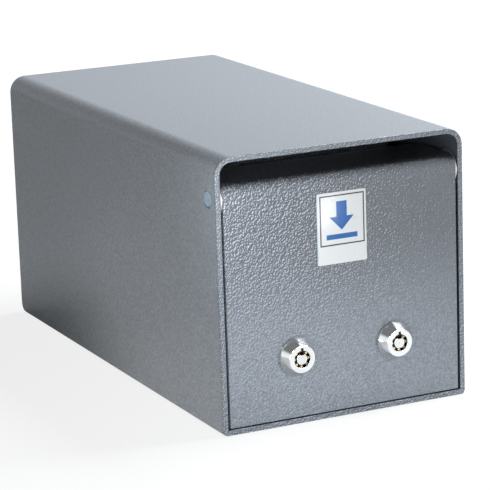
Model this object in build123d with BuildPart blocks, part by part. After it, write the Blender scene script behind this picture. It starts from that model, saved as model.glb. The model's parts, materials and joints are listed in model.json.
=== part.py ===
"""Small drop safe: a bent steel housing with a hooded drop door and two tubular key locks.

Millimetres. The origin is the centre of the housing's bottom face. X runs to the right as seen from
the front, Y to the back and Z up. The door is shut, and both cams are turned clear of the strike.
"""

import os
from math import cos, radians, sin

from build123d import *

# Housing
housing_width = 150.0
housing_height = 152.4
housing_depth = 302.0
wall = 3.0
top_bend_radius = 9.75
rear_bend_radius = 7.5
bottom_corner_radius = 2.5
edge_radius = 0.5

# Anchor holes in the floor
anchor_spacing_x = 76.2
anchor_spacing_y = 203.2
anchor_hole_radius = 5.2

# Door, one bent plate: an upright face, and a hood that the drop slides over
door_thickness = 3.0
door_recess = 0.2
door_side_gap = 1.3
door_bottom_gap = 0.8
slot_height = 12.0
door_bend_radius = 6.0
hood_reach = 49.0
hood_slope_length = 13.0
hood_slope = 9.5
hood_bend_radius = 10.0

# Pivot pins through the side walls, held in blocks in the door's upper corners
pivot_setback = 10.5
pivot_below_slot = 8.7
pivot_radius = 4.75
pivot_chamfer = 0.5
pivot_running_clearance = 0.07
pivot_block_clearance = 0.02
pivot_washer_radius = 10.3
pivot_washer_clearance = 0.15
pivot_washer_bore_clearance = 0.1
block_thickness = 9.0
block_margin = 4.75
block_corner_radius = 5.0
block_bend_relief = 0.5
set_screw_radius = 2.0
set_screw_tip_gap = 0.05
hex_key_radius = 1.1
hex_key_depth = 2.2

# Strike channel on the floor: the front leg stops the door, the rear leg holds the cams
strike_thickness = 3.0
strike_height = 15.0
strike_half_length = 46.0
strike_bend_radius = 4.5
door_stop_gap = 0.3
strike_to_cam_gap = 0.6

# Baffle on the ceiling behind the slot
baffle_thickness = 2.0
baffle_drop_gap = 15.0
baffle_depth = 36.0
baffle_flange = 18.0
baffle_end_gap = 1.5
baffle_bend_radius = 4.0

# Label plate
label_width = 30.0
label_height = 39.6
label_thickness = 0.5
label_below_hood = 11.6
label_offset = -0.75
label_corner_radius = 0.8

# Locks: places, head and barrel
lock_spacing = 60.0
lock_height = 38.0
head_length = 7.0
head_base_radius = 10.7
head_front_radius = 7.6
head_rim = 1.8
head_edge_radius = 0.45
keyway_radius = 4.8
lip_thickness = 1.0
notch_width = 1.5
notch_radius = 6.3
notch_depth = 2.2
barrel_radius = 9.5
barrel_length = 16.0
barrel_flat = 8.0
barrel_hole_clearance = 0.1
bore_radius = 5.95

# Locks: nut and washer that hold the barrel in the door
nut_across_flats = 24.0
nut_thickness = 4.0
lock_washer_radius = 12.8
lock_washer_thickness = 1.2
thread_clearance = 0.02

# Locks: plug, with the centre post in front and the tail behind
plug_clearance = 0.05
plug_setback = 2.5
shear_line = 3.0
shear_gap = 0.05
post_radius = 3.2
post_setback = 0.3
post_groove_width = 2.4
post_groove_radius = 2.2
tail_radius = 2.75
tail_flat = 2.1
tail_clearance = 0.05
tail_shoulder_gap = 0.1
stud_radius = 2.5
stud_end = 1.0

# Locks: seven pin stacks, none at the notch
stack_count = 7
stack_pitch_radius = 4.15
stack_angle = 45.0
key_pin_radius = 0.8
key_pin_travel = 1.8
key_pin_tip = 0.25
pin_front_gap = 0.1
pin_hole_clearance = 0.05
driver_length = 4.0
driver_hole_depth = 9.0
driver_spring_radius = 0.75
driver_spring_bore = 0.45

# Locks: the bushing's retaining pin
retaining_pin_radius = 0.8
retaining_pin_setback = 10.0
retaining_pin_depth = 0.9
retaining_pin_clearance = 0.02
retaining_pin_inset = 0.2

# Locks: quarter-turn stop, cam, washer and nut on the plug's tail
stop_washer_gap = 0.1
stop_washer_thickness = 1.0
stop_washer_radius = 6.2
stop_outer_radius = 9.0
stop_inner_radius = 6.5
stop_tab_half_angle = 50.0
stop_free_angle = 1.0
lock_turn = 90.0
cam_gap = 0.2
cam_thickness = 2.0
cam_length = 30.0
cam_width = 12.0
cam_hub_radius = 8.0
cam_tip_radius = 2.0
cam_washer_radius = 5.0
cam_washer_thickness = 0.8
cam_nut_across_flats = 8.0
cam_nut_thickness = 4.0

# Planes and lines that follow from the sizes above
front = -housing_depth / 2
rear = housing_depth / 2
inner_half_width = housing_width / 2 - wall
ceiling = housing_height - wall
door_front = front + door_recess
door_back = door_front + door_thickness
door_bottom = wall + door_bottom_gap
door_half_width = inner_half_width - door_side_gap
hood_top = ceiling - slot_height
hood_end = door_front + hood_reach
pivot_y = front + pivot_setback
pivot_z = hood_top - pivot_below_slot
head_front = -head_length
lip_back = head_front + lip_thickness
plug_front = head_front + plug_setback
driver_front = shear_line + shear_gap
stop_back = barrel_length + stop_washer_gap + stop_washer_thickness
cam_front = stop_back + cam_gap
cam_back = cam_front + cam_thickness
cam_washer_back = cam_back + cam_washer_thickness
stud_back = cam_washer_back + cam_nut_thickness + stud_end

os.makedirs("parts", exist_ok=True)

SIDES = {"left": -1, "right": 1}


def save(piece, name):
    """Label a finished piece and write its STEP file."""
    piece.part.label = name
    export_step(piece.part, f"parts/{name}.step")


def facing(x, y, z):
    """Upright plane seen from the front: local x to the right, y up, the normal towards the viewer."""
    return Plane(origin=(x, y, z), x_dir=(1, 0, 0), z_dir=(0, -1, 0))


def outer_section():
    """Housing's outline seen from the front, with the bends above and the ground welds below."""
    with BuildSketch(facing(0, front, 0)) as section:
        with BuildLine():
            half = housing_width / 2
            corners = ((-half, 0), (half, 0), (half, housing_height), (-half, housing_height))
            below, above = bottom_corner_radius, top_bend_radius
            FilletPolyline(*corners, radius=(below, below, above, above), close=True)
        make_face()
    return section.sketch


def inner_section(bottom):
    """Space inside the walls seen from the front, from the given height up to the ceiling."""
    with BuildSketch(facing(0, front, 0)) as section:
        with BuildLine():
            half, bend = inner_half_width, top_bend_radius - wall
            corners = ((-half, bottom), (half, bottom), (half, ceiling), (-half, ceiling))
            FilletPolyline(*corners, radius=(0, 0, bend, bend), close=True)
        make_face()
    return section.sketch


def mitre_sections():
    """Triangle under each side wall where the floor's mitred edge lies, seen from the front."""
    with BuildSketch(facing(0, front, 0)) as sections:
        for sign in SIDES.values():
            inner, outer = sign * inner_half_width, sign * housing_width / 2
            with BuildLine():
                Polyline((inner, 0), (outer, 0), (inner, wall), close=True)
            make_face()
    return sections.sketch


def side_section():
    """Housing's outline seen from the right, with the rounded lower rear corner."""
    with BuildSketch(Plane.YZ.offset(-housing_width / 2)) as section:
        with BuildLine():
            corners = ((front, 0), (rear, 0), (rear, housing_height), (front, housing_height))
            FilletPolyline(*corners, radius=(0, rear_bend_radius, 0, 0), close=True)
        make_face()
    return section.sketch


# Housing shell: left wall, top and right wall in one bend, mitred along the floor
with BuildPart() as housing_shell:
    extrude(outer_section(), amount=-housing_depth)
    extrude(inner_section(-wall), amount=-housing_depth, mode=Mode.SUBTRACT)
    extrude(mitre_sections(), amount=-(housing_depth - rear_bend_radius), mode=Mode.SUBTRACT)
    extrude(side_section(), amount=housing_width, mode=Mode.INTERSECT)
    with BuildSketch(Plane.YZ.offset(-housing_width / 2)):
        with Locations((pivot_y, pivot_z)):
            Circle(pivot_radius + pivot_running_clearance)
    extrude(amount=housing_width, mode=Mode.SUBTRACT)
    rim = housing_shell.faces().filter_by(Axis.Y).sort_by(Axis.Y)[0].edges()
    low_ends = rim.filter_by(lambda edge: edge.center().Z < wall)
    fillet(rim - low_ends, edge_radius)
save(housing_shell, "housing_shell")

# Floor and back: one sheet bent up at the rear, mitred to the walls, with four anchor holes
with BuildPart() as floor_back_panel:
    with BuildSketch(Plane.YZ.offset(-inner_half_width)):
        with BuildLine():
            FilletPolyline((front, 0), (rear, 0), (rear, ceiling), radius=rear_bend_radius)
            offset(amount=wall, side=Side.LEFT)
        make_face()
    extrude(amount=2 * inner_half_width)
    extrude(inner_section(0), amount=-housing_depth, mode=Mode.INTERSECT)
    extrude(mitre_sections(), amount=-(housing_depth - rear_bend_radius))
    extrude(outer_section(), amount=-housing_depth, mode=Mode.INTERSECT)
    with BuildSketch():
        with GridLocations(anchor_spacing_x, anchor_spacing_y, 2, 2):
            Circle(anchor_hole_radius)
    extrude(amount=wall, mode=Mode.SUBTRACT)
save(floor_back_panel, "floor_back_panel")

# Ceiling baffle: a flange against the ceiling and a leg that hangs behind the drop gap
with BuildPart() as ceiling_baffle:
    baffle_front = hood_end + baffle_drop_gap
    baffle_half_width = housing_width / 2 - top_bend_radius - baffle_end_gap
    with BuildSketch(Plane.YZ.offset(-baffle_half_width)):
        with BuildLine():
            low, corner = (baffle_front, ceiling - baffle_depth), (baffle_front, ceiling)
            flange_end = (baffle_front + baffle_flange, ceiling)
            FilletPolyline(low, corner, flange_end, radius=baffle_bend_radius)
            offset(amount=baffle_thickness, side=Side.RIGHT)
        make_face()
    extrude(amount=2 * baffle_half_width)
save(ceiling_baffle, "ceiling_baffle")

# Strike channel, legs up, welded to the floor behind the door
with BuildPart() as strike_channel:
    strike_front = door_back + door_stop_gap
    strike_back = door_front + cam_front - strike_to_cam_gap
    strike_top = wall + strike_height
    with BuildSketch(Plane.YZ.offset(-strike_half_length)):
        with BuildLine():
            front_leg, front_foot = (strike_front, strike_top), (strike_front, wall)
            rear_foot, rear_leg = (strike_back, wall), (strike_back, strike_top)
            FilletPolyline(front_leg, front_foot, rear_foot, rear_leg, radius=strike_bend_radius)
            offset(amount=strike_thickness, side=Side.LEFT)
        make_face()
    extrude(amount=2 * strike_half_length)
save(strike_channel, "strike_channel")


def barrel_outline(clearance):
    """Round barrel with a flat on each side, seen from the front, grown by the clearance."""
    Circle(barrel_radius + clearance)
    Rectangle(2 * (barrel_flat + clearance), 4 * barrel_radius, mode=Mode.INTERSECT)


# Door: one plate bent over into the hood, with a flatted hole for each lock
with BuildPart() as door_panel:
    slope_start = (hood_end - hood_slope_length * cos(radians(hood_slope)), hood_top)
    slope_end = (hood_end, hood_top - hood_slope_length * sin(radians(hood_slope)))
    with BuildSketch(Plane.YZ.offset(-door_half_width)):
        with BuildLine():
            foot, shoulder = (door_front, door_bottom), (door_front, hood_top)
            bends = (door_bend_radius, hood_bend_radius)
            FilletPolyline(foot, shoulder, slope_start, slope_end, radius=bends)
            offset(amount=door_thickness, side=Side.RIGHT)
        make_face()
    extrude(amount=2 * door_half_width)
    for sign in SIDES.values():
        with BuildSketch(facing(sign * lock_spacing / 2, door_front, lock_height)):
            barrel_outline(barrel_hole_clearance)
        extrude(amount=-door_thickness, mode=Mode.SUBTRACT)
    face_front = door_panel.faces().filter_by(Axis.Y).sort_by(Axis.Y)[0]
    fillet(face_front.outer_wire().edges().filter_by(Axis.Z), edge_radius)
save(door_panel, "door_panel")

# Label plate on the face, bare
with BuildPart() as label_plate:
    label_centre = hood_top - label_below_hood - label_height / 2
    with BuildSketch(facing(label_offset, door_front, label_centre)):
        RectangleRounded(label_width, label_height, label_corner_radius)
    extrude(amount=label_thickness)
save(label_plate, "label_plate")


def build_hinge(side, sign):
    """Block in the door's upper corner, its pivot pin, the pin's set screw and the side washer."""
    block_outer = sign * door_half_width
    block_middle = Plane.YZ.offset(sign * (door_half_width - block_thickness / 2))
    block_back = pivot_y + pivot_radius + block_margin
    block_low = pivot_z - pivot_radius - block_margin
    block_top = hood_top - door_thickness
    screw_front = pivot_y + pivot_radius + set_screw_tip_gap
    screw_x = sign * (door_half_width - block_thickness / 2)
    screw_length = block_back - screw_front
    inner_bend = door_bend_radius - door_thickness + block_bend_relief

    with BuildPart() as hinge_block:
        with BuildSketch(block_middle):
            with BuildLine():
                low = ((door_back, block_low), (block_back, block_low))
                high = ((block_back, block_top), (door_back, block_top))
                FilletPolyline(*low, *high, radius=(0, block_corner_radius, 0, inner_bend), close=True)
            make_face()
            with Locations((pivot_y, pivot_z)):
                Circle(pivot_radius + pivot_block_clearance, mode=Mode.SUBTRACT)
        extrude(amount=block_thickness / 2, both=True)
        with BuildSketch(facing(screw_x, pivot_y, pivot_z)):
            Circle(set_screw_radius + thread_clearance)
        extrude(amount=-(block_back - pivot_y), mode=Mode.SUBTRACT)
    save(hinge_block, f"{side}_hinge_block")

    with BuildPart() as pivot_pin:
        with BuildSketch(Plane.YZ.offset(sign * housing_width / 2)):
            with Locations((pivot_y, pivot_z)):
                Circle(pivot_radius)
        extrude(amount=-sign * (housing_width / 2 - door_half_width + block_thickness))
        chamfer(pivot_pin.edges().filter_by(GeomType.CIRCLE), pivot_chamfer)
    save(pivot_pin, f"{side}_pivot_pin")

    with BuildPart() as pivot_washer:
        with BuildSketch(Plane.YZ.offset(block_outer)):
            with Locations((pivot_y, pivot_z)):
                Circle(pivot_washer_radius)
                Circle(pivot_radius + pivot_washer_bore_clearance, mode=Mode.SUBTRACT)
        extrude(amount=sign * (door_side_gap - pivot_washer_clearance))
    save(pivot_washer, f"{side}_pivot_washer")

    with BuildPart() as set_screw:
        with BuildSketch(facing(screw_x, screw_front, pivot_z)):
            Circle(set_screw_radius)
        extrude(amount=-screw_length)
        with BuildSketch(facing(screw_x, block_back, pivot_z)):
            RegularPolygon(hex_key_radius, 6)
        extrude(amount=hex_key_depth, mode=Mode.SUBTRACT)
    save(set_screw, f"{side}_set_screw")


for side, sign in SIDES.items():
    build_hinge(side, sign)


def axial_section(x):
    """Level plane through a lock's axis: local x is the radius, local y the depth behind the door."""
    return Plane(origin=(x, door_front, lock_height), x_dir=(1, 0, 0), z_dir=(0, 0, 1))


def at_depth(x, depth):
    """Plane across a lock's axis, seen from the front, at a depth behind the door's face."""
    return facing(x, door_front + depth, lock_height)


def lock_axis(x):
    """A lock's axis, pointing to the back."""
    return Axis((x, door_front, lock_height), (0, 1, 0))


def stack_places():
    """Places of the pin stacks around the post, leaving the notch at the top free."""
    sweep = 360 - 2 * stack_angle
    return PolarLocations(stack_pitch_radius, stack_count, 90 + stack_angle, sweep, endpoint=True)


def tail_outline(clearance):
    """Round tail with a flat on each side, grown by the clearance."""
    Circle(tail_radius + clearance)
    Rectangle(2 * (tail_flat + clearance), 4 * tail_radius, mode=Mode.INTERSECT)


def sector(start, stop, reach, mode=Mode.ADD):
    """Sector about the local origin between two angles in degrees, its round edge in short chords."""
    chords = 12
    rays = [radians(start + (stop - start) * chord / chords) for chord in range(chords + 1)]
    Polygon((0, 0), *[(reach * cos(ray), reach * sin(ray)) for ray in rays], align=None, mode=mode)


def build_lock_body(side, x):
    """Head and barrel in one, with the key notch, the side flats, the pin hole and the stop lug."""
    with BuildPart() as lock_body:
        with BuildSketch(axial_section(x)):
            with BuildLine():
                Polyline(
                    (keyway_radius, head_front),
                    (head_front_radius, head_front),
                    (head_base_radius, -head_rim),
                    (head_base_radius, 0),
                    (barrel_radius, 0),
                    (barrel_radius, barrel_length),
                    (bore_radius, barrel_length),
                    (bore_radius, lip_back),
                    (keyway_radius, lip_back),
                    close=True,
                )
            make_face()
        revolve(axis=lock_axis(x))
        face_edges = lock_body.edges().filter_by(GeomType.CIRCLE).group_by(Axis.Y)[0]
        fillet(face_edges.sort_by(SortBy.RADIUS)[-1], head_edge_radius)
        with BuildSketch(at_depth(x, head_front)):
            Rectangle(notch_width, notch_radius, align=(Align.CENTER, Align.MIN))
        extrude(amount=-notch_depth, mode=Mode.SUBTRACT)
        with BuildSketch(at_depth(x, barrel_length)):
            Circle(stop_outer_radius)
            Circle(stop_inner_radius, mode=Mode.SUBTRACT)
            sweep_end = stop_tab_half_angle + stop_free_angle
            sector(-sweep_end - lock_turn, sweep_end, 2 * stop_outer_radius, Mode.SUBTRACT)
        extrude(amount=-(stop_washer_gap + stop_washer_thickness))
        with BuildSketch(at_depth(x, 0)):
            Rectangle(4 * barrel_radius, 4 * barrel_radius)
            Rectangle(2 * barrel_flat, 4 * barrel_radius, mode=Mode.SUBTRACT)
        extrude(amount=-stop_back, mode=Mode.SUBTRACT)
        with BuildSketch(axial_section(x)):
            with Locations((0, retaining_pin_setback)):
                Circle(retaining_pin_radius + retaining_pin_clearance)
        extrude(amount=2 * barrel_radius, mode=Mode.SUBTRACT)
    save(lock_body, f"{side}_lock_body")


def build_lock_fixings(side, x):
    """Washer and hexagon nut on the barrel, behind the door."""
    bore = barrel_radius + thread_clearance
    with BuildPart() as lock_washer:
        with BuildSketch(at_depth(x, door_thickness)):
            Circle(lock_washer_radius)
            Circle(bore, mode=Mode.SUBTRACT)
        extrude(amount=-lock_washer_thickness)
    save(lock_washer, f"{side}_lock_washer")

    with BuildPart() as mounting_nut:
        with BuildSketch(at_depth(x, door_thickness + lock_washer_thickness)):
            RegularPolygon(nut_across_flats / 2, 6, major_radius=False)
            Circle(bore, mode=Mode.SUBTRACT)
        extrude(amount=-nut_thickness)
    save(mounting_nut, f"{side}_mounting_nut")


def build_pin_stacks(side, x):
    """Bushing in the back of the barrel, its retaining pin, and the drivers on their springs."""
    hole_radius = key_pin_radius + pin_hole_clearance
    bushing_radius = bore_radius - thread_clearance
    pin_seat = bushing_radius - retaining_pin_depth

    with BuildPart() as driver_bushing:
        with BuildSketch(at_depth(x, driver_front)):
            Circle(bushing_radius)
            Circle(tail_radius + tail_clearance, mode=Mode.SUBTRACT)
        extrude(amount=-(barrel_length - driver_front))
        with BuildSketch(at_depth(x, driver_front)):
            with stack_places():
                Circle(hole_radius)
        extrude(amount=-driver_hole_depth, mode=Mode.SUBTRACT)
        with BuildSketch(axial_section(x).offset(pin_seat)):
            with Locations((0, retaining_pin_setback)):
                Circle(retaining_pin_radius + retaining_pin_clearance)
        extrude(amount=retaining_pin_depth + thread_clearance, mode=Mode.SUBTRACT)
    save(driver_bushing, f"{side}_driver_bushing")

    with BuildPart() as retaining_pin:
        with BuildSketch(axial_section(x).offset(pin_seat)):
            with Locations((0, retaining_pin_setback)):
                Circle(retaining_pin_radius)
        extrude(amount=barrel_radius - retaining_pin_inset - pin_seat)
    save(retaining_pin, f"{side}_retaining_pin")

    with BuildPart() as driver_pins:
        with BuildSketch(at_depth(x, driver_front)):
            with stack_places():
                Circle(key_pin_radius)
        extrude(amount=-driver_length)
    save(driver_pins, f"{side}_driver_pins")

    with BuildPart() as driver_springs:
        with BuildSketch(at_depth(x, driver_front + driver_length)):
            with stack_places():
                Circle(driver_spring_radius)
                Circle(driver_spring_bore, mode=Mode.SUBTRACT)
        extrude(amount=-(driver_hole_depth - driver_length))
    save(driver_springs, f"{side}_driver_springs")


def build_plug(side, x):
    """Turning plug with its grooved post, flatted tail and stud, and the seven key pins in its flange."""
    flange_radius = bore_radius - plug_clearance
    with BuildPart() as lock_plug:
        with BuildSketch(axial_section(x)):
            with BuildLine():
                Polyline(
                    (0, head_front + post_setback),
                    (post_radius, head_front + post_setback),
                    (post_radius, plug_front),
                    (flange_radius, plug_front),
                    (flange_radius, shear_line),
                    (tail_radius, shear_line),
                    (tail_radius, cam_back - tail_shoulder_gap),
                    (stud_radius, cam_back - tail_shoulder_gap),
                    (stud_radius, stud_back),
                    (0, stud_back),
                    close=True,
                )
            make_face()
        revolve(axis=lock_axis(x))
        with BuildSketch(at_depth(x, head_front)):
            with Locations((0, post_groove_radius)):
                Rectangle(post_groove_width, post_radius, align=(Align.CENTER, Align.MIN))
        extrude(amount=-plug_setback, mode=Mode.SUBTRACT)
        with BuildSketch(at_depth(x, plug_front)):
            with stack_places():
                Circle(key_pin_radius + pin_hole_clearance)
        extrude(amount=-(shear_line - plug_front), mode=Mode.SUBTRACT)
        with BuildSketch(at_depth(x, barrel_length)):
            Rectangle(4 * tail_radius, 4 * tail_radius)
            Rectangle(2 * tail_flat, 4 * tail_radius, mode=Mode.SUBTRACT)
        extrude(amount=-(stud_back - barrel_length), mode=Mode.SUBTRACT)
    save(lock_plug, f"{side}_lock_plug")

    with BuildPart() as key_pins:
        with BuildSketch(at_depth(x, lip_back + pin_front_gap)):
            with stack_places():
                Circle(key_pin_radius)
        extrude(amount=-(shear_line - key_pin_travel - lip_back - pin_front_gap))
        chamfer(key_pins.edges().group_by(Axis.Y)[0], key_pin_tip)
    save(key_pins, f"{side}_key_pins")


def build_cam(side, x):
    """Quarter-turn stop washer, cam, washer and nut on the plug's tail."""
    with BuildPart() as stop_washer:
        with BuildSketch(at_depth(x, barrel_length + stop_washer_gap)):
            Circle(stop_outer_radius)
            sector(stop_tab_half_angle, 360 - stop_tab_half_angle, 2 * stop_outer_radius, Mode.SUBTRACT)
            Circle(stop_washer_radius)
            Circle(tail_radius + tail_clearance, mode=Mode.SUBTRACT)
        extrude(amount=-stop_washer_thickness)
    save(stop_washer, f"{side}_stop_washer")

    with BuildPart() as cam:
        with BuildSketch(at_depth(x, cam_front)) as blank:
            Circle(cam_hub_radius)
            Rectangle(cam_length, cam_width, align=(Align.MIN, Align.CENTER))
            fillet(blank.vertices().group_by(Axis.X)[-1], cam_tip_radius)
            Circle(tail_radius + tail_clearance, mode=Mode.SUBTRACT)
        extrude(amount=-cam_thickness)
    save(cam, f"{side}_cam")

    with BuildPart() as cam_washer:
        with BuildSketch(at_depth(x, cam_back)):
            Circle(cam_washer_radius)
            Circle(stud_radius + thread_clearance, mode=Mode.SUBTRACT)
        extrude(amount=-cam_washer_thickness)
    save(cam_washer, f"{side}_cam_washer")

    with BuildPart() as cam_nut:
        with BuildSketch(at_depth(x, cam_washer_back)):
            RegularPolygon(cam_nut_across_flats / 2, 6, major_radius=False)
            Circle(stud_radius + thread_clearance, mode=Mode.SUBTRACT)
        extrude(amount=-cam_nut_thickness)
    save(cam_nut, f"{side}_cam_nut")


for side, sign in SIDES.items():
    lock_x = sign * lock_spacing / 2
    build_lock_body(side, lock_x)
    build_lock_fixings(side, lock_x)
    build_pin_stacks(side, lock_x)
    build_plug(side, lock_x)
    build_cam(side, lock_x)
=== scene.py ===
"""Drop safe: hammered paint, plated and turned metal, a printed label and a soft white studio.

Metres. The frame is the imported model's own: the origin is the centre of the housing's bottom face,
the door faces -Y and Z is up. Sizes in the classes are millimetres, turned to metres by MM.
"""

import json
import logging
import math
from dataclasses import dataclass
from enum import Enum
from typing import Any, Optional, Sequence

import bmesh
import bpy
from mathutils import Matrix, Vector

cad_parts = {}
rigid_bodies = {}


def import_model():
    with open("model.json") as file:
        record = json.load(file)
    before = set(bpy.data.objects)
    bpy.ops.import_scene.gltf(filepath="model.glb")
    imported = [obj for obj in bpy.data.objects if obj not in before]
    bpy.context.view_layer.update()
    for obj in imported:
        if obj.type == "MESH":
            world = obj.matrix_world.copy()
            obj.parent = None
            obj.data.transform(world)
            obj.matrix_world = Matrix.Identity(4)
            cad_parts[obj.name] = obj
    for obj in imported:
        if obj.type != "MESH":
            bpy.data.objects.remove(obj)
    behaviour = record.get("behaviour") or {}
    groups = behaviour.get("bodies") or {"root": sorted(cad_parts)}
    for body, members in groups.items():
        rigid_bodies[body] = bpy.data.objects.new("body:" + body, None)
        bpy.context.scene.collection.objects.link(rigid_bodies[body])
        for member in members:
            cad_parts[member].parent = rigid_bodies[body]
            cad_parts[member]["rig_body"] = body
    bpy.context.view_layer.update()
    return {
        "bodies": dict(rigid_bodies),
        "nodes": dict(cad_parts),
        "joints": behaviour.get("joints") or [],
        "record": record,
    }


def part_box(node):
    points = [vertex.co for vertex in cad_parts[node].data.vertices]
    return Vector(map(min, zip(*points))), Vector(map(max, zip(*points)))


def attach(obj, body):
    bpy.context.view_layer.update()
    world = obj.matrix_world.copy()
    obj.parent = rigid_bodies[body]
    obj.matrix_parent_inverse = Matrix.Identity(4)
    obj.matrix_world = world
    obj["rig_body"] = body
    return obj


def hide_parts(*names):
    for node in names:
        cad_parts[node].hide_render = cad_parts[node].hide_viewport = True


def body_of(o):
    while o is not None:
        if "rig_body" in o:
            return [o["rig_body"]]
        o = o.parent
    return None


log = logging.getLogger("drop_safe")

# Metres in a millimetre, the angles in degrees from which an edge stays sharp and a node's edge is
# bevelled, and how many millimetres a cutting shape reaches past the metal.
MM = 0.001
SHARP_ANGLE = 30.0
BEVEL_ANGLE = 35.0
PAST = 1.0

# A pair is (start, stop), or a point's (radius, depth). A corner is (radius, depth, rounding). A ramp
# is a smooth step's start, stop, low and high. A box is its left, right, bottom and top.
Pair = tuple[float, float]
Triple = Corner = tuple[float, float, float]
Ramp = Box = tuple[float, float, float, float]


class Side(Enum):
    """The two sides of the safe, seen from the front, with the sign of X on each."""

    LEFT = -1
    RIGHT = 1

    @property
    def word(self) -> str:
        """Name of the side in node and piece names."""
        return self.name.lower()


class Slot(Enum):
    """Material slots of the record that go with the new pieces."""

    ZINC = "zinc_steel"
    CHROME = "chrome"
    BRASS = "brass"
    BLACK = "black_steel"
    SPRING = "spring_steel"
    LABEL = "label"


# Shader nodes


class Signal:
    """A shader socket whose arithmetic adds Math nodes."""

    def __init__(self, board: "Board", socket: Optional[bpy.types.NodeSocket]) -> None:
        """Wrap a socket of the board's tree."""
        self.board = board
        self.socket = socket

    def _math(self, operation: str, *terms: Any) -> "Signal":
        """Add one Math node.

        Args:
            operation: the node's operation.
            *terms: signals or numbers for its sockets in order.

        Returns:
            The node's value.
        """
        return self.board.node("ShaderNodeMath", {"operation": operation}, dict(enumerate(terms)))

    def __add__(self, other: Any) -> "Signal":
        """Sum."""
        return self._math("ADD", self, other)

    __radd__ = __add__

    def __sub__(self, other: Any) -> "Signal":
        """Difference."""
        return self._math("SUBTRACT", self, other)

    def __rsub__(self, other: Any) -> "Signal":
        """Difference with a number on the left."""
        return self._math("SUBTRACT", other, self)

    def __mul__(self, other: Any) -> "Signal":
        """Product."""
        return self._math("MULTIPLY", self, other)

    __rmul__ = __mul__

    def __abs__(self) -> "Signal":
        """Size without sign."""
        return self._math("ABSOLUTE", self)

    def __pow__(self, other: Any) -> "Signal":
        """Power."""
        return self._math("POWER", self, other)

    def __rpow__(self, other: Any) -> "Signal":
        """Power of a number on the left."""
        return self._math("POWER", other, self)

    def at_least(self, other: Any) -> "Signal":
        """The larger of the two."""
        return self._math("MAXIMUM", self, other)

    def ease(self, start: float, stop: float, low: float = 0.0, high: float = 1.0) -> "Signal":
        """Smooth step.

        Args:
            start: value at which the step begins; it may lie above stop.
            stop: value at which the step ends.
            low: result before the step.
            high: result after it.

        Returns:
            The stepped value.
        """
        sockets = {0: self, 1: start, 2: stop, 3: low, 4: high}
        return self.board.node("ShaderNodeMapRange", {"interpolation_type": "SMOOTHSTEP"}, sockets)


class Board:
    """One node tree, with one call for any node."""

    def __init__(self, tree: bpy.types.NodeTree) -> None:
        """Start on an empty tree."""
        self.tree = tree
        self.tree.nodes.clear()

    def node(
        self,
        kind: str,
        settings: Optional[dict[str, Any]] = None,
        sockets: Optional[dict[Any, Any]] = None,
        output: int = 0,
    ) -> Signal:
        """Add a node.

        Args:
            kind: the node's type.
            settings: its properties, set first.
            sockets: signals or values for its inputs, by name or number.
            output: number of the output to return.

        Returns:
            The chosen output.
        """
        made = self.tree.nodes.new(kind)
        for name, value in (settings or {}).items():
            setattr(made, name, value)
        for key, value in (sockets or {}).items():
            if isinstance(value, Signal):
                self.tree.links.new(value.socket, made.inputs[key])
            else:
                made.inputs[key].default_value = value
        return Signal(self, made.outputs[output] if len(made.outputs) else None)

    def place(self) -> Signal:
        """Object coordinates, which are the frame's own metres."""
        return self.node("ShaderNodeTexCoord", output=3)

    def sky(self) -> Signal:
        """Direction of a point of the surroundings."""
        return self.node("ShaderNodeTexCoord", output=0)

    def outputs(self, signal: Signal, *names: Any) -> list[Signal]:
        """Outputs of the node that a signal comes from, by name or number."""
        return [Signal(self, signal.socket.node.outputs[name]) for name in names]

    def rays(self) -> list[Signal]:
        """1 for camera, glossy and transmission rays in turn, 0 for any other."""
        path = self.node("ShaderNodeLightPath")
        return self.outputs(path, "Is Camera Ray", "Is Glossy Ray", "Is Transmission Ray")

    def split(self, vector: Signal) -> list[Signal]:
        """X, Y and Z of a vector."""
        return self.outputs(self.node("ShaderNodeSeparateXYZ", {}, {0: vector}), 0, 1, 2)

    def shift(self, vector: Signal, step: Triple) -> Signal:
        """Move a pattern's coordinates by a step in metres."""
        return self.node("ShaderNodeVectorMath", {"operation": "ADD"}, {0: vector, 1: step})

    def cloud(
        self, vector: Signal, size: float, detail: float = 2.0, rough: float = 0.5, swirl: float = 0.0
    ) -> Signal:
        """Soft noise from 0 to 1.

        Args:
            vector: the coordinates.
            size: width of a patch in metres.
            detail: octaves of finer noise.
            rough: weight of the finer noise.
            swirl: distortion.

        Returns:
            The noise's value.
        """
        sockets = {"Vector": vector, "Scale": 1 / size, "Detail": detail}
        return self.node("ShaderNodeTexNoise", {}, {**sockets, "Roughness": rough, "Distortion": swirl})

    def pebbles(self, vector: Signal, size: float, soft: float = 0.5) -> Signal:
        """Rounded cells, 0 at each middle and larger between them.

        Args:
            vector: the coordinates.
            size: width of a cell in metres.
            soft: how far the cells run into each other.

        Returns:
            The distance from the cell's middle in cell widths.
        """
        sockets = {"Vector": vector, "Scale": 1 / size, "Smoothness": soft}
        return self.node("ShaderNodeTexVoronoi", {"feature": "SMOOTH_F1"}, sockets)

    def within(self, value: Signal, low: float, high: float, soft: float) -> Signal:
        """1 between two values given in millimetres, 0 outside, with soft edges."""
        rise = value.ease((low - soft) * MM, (low + soft) * MM)
        return rise * value.ease((high + soft) * MM, (high - soft) * MM)

    def blend(self, share: Any, first: Any, second: Any, way: str = "MIX") -> Signal:
        """Mix two colours.

        Args:
            share: part of the second colour, from 0 to 1.
            first: a colour or signal.
            second: a colour or signal.
            way: how the second is laid over the first.

        Returns:
            The mixed colour.
        """
        settings = {"data_type": "RGBA", "blend_type": way}
        first, second = ((*c, 1.0) if isinstance(c, tuple) else c for c in (first, second))
        return self.node("ShaderNodeMix", settings, {0: share, 6: first, 7: second}, 2)

    def relief(self, height: Signal) -> Signal:
        """Normal of a surface with this height in metres."""
        return self.node("ShaderNodeBump", {}, {"Strength": 1.0, "Distance": 1.0, "Height": height})


# Finishes


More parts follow.
